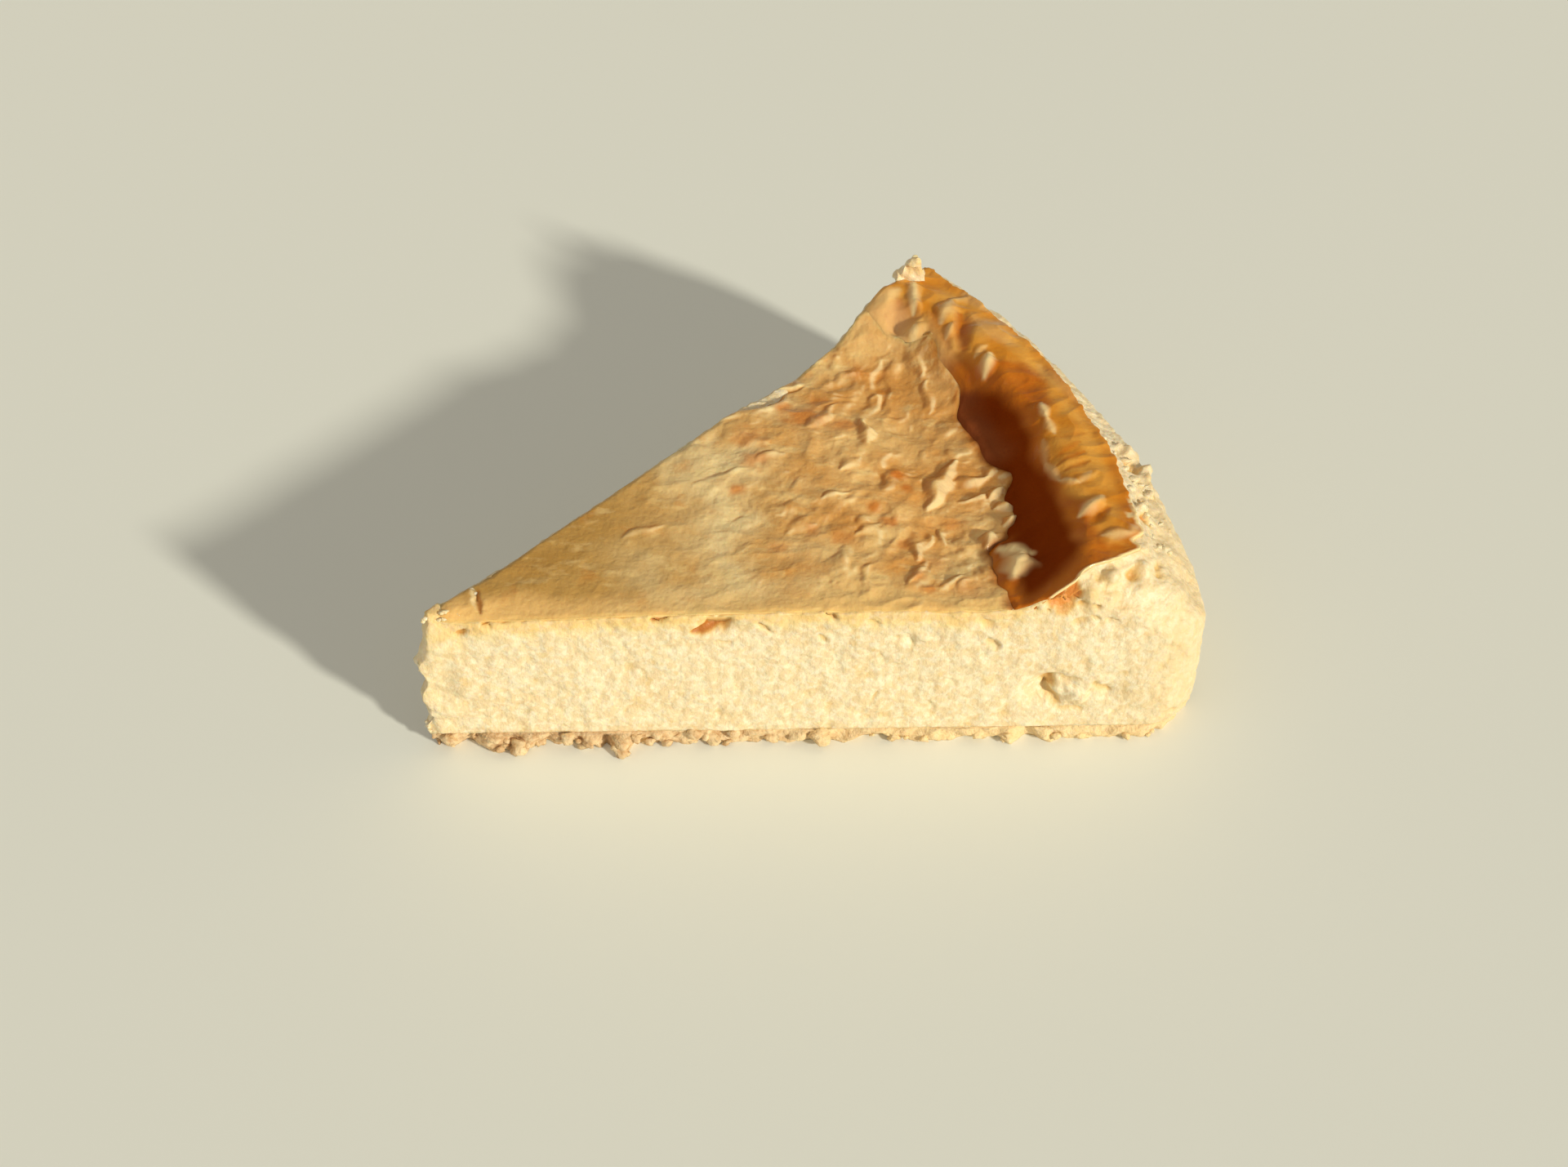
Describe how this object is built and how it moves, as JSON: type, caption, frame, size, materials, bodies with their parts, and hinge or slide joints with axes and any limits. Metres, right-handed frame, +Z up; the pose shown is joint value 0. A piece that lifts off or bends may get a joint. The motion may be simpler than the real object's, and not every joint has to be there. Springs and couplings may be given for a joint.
{
  "type": "cheesecake slice",
  "caption": "Wedge-shaped slice of baked cheesecake with a browned, raised rim, creamy cut faces and a thin crumb base.",
  "frame": {"origin": "centre of the bounding box, on the flat underside", "axes": "+X along the front cut from the point to the raised rim, front cut facing -Y, +Z up"},
  "size_m": [0.127, 0.0901, 0.0392],
  "materials": {
    "baked_filling": "creamy crumb on the cut faces, browned and satin on top",
    "crumb_base": "dry pressed crumb"
  },
  "bodies": {
    "root": {"filling": "baked_filling", "base_crust": "crumb_base"}
  },
  "joints": []
}
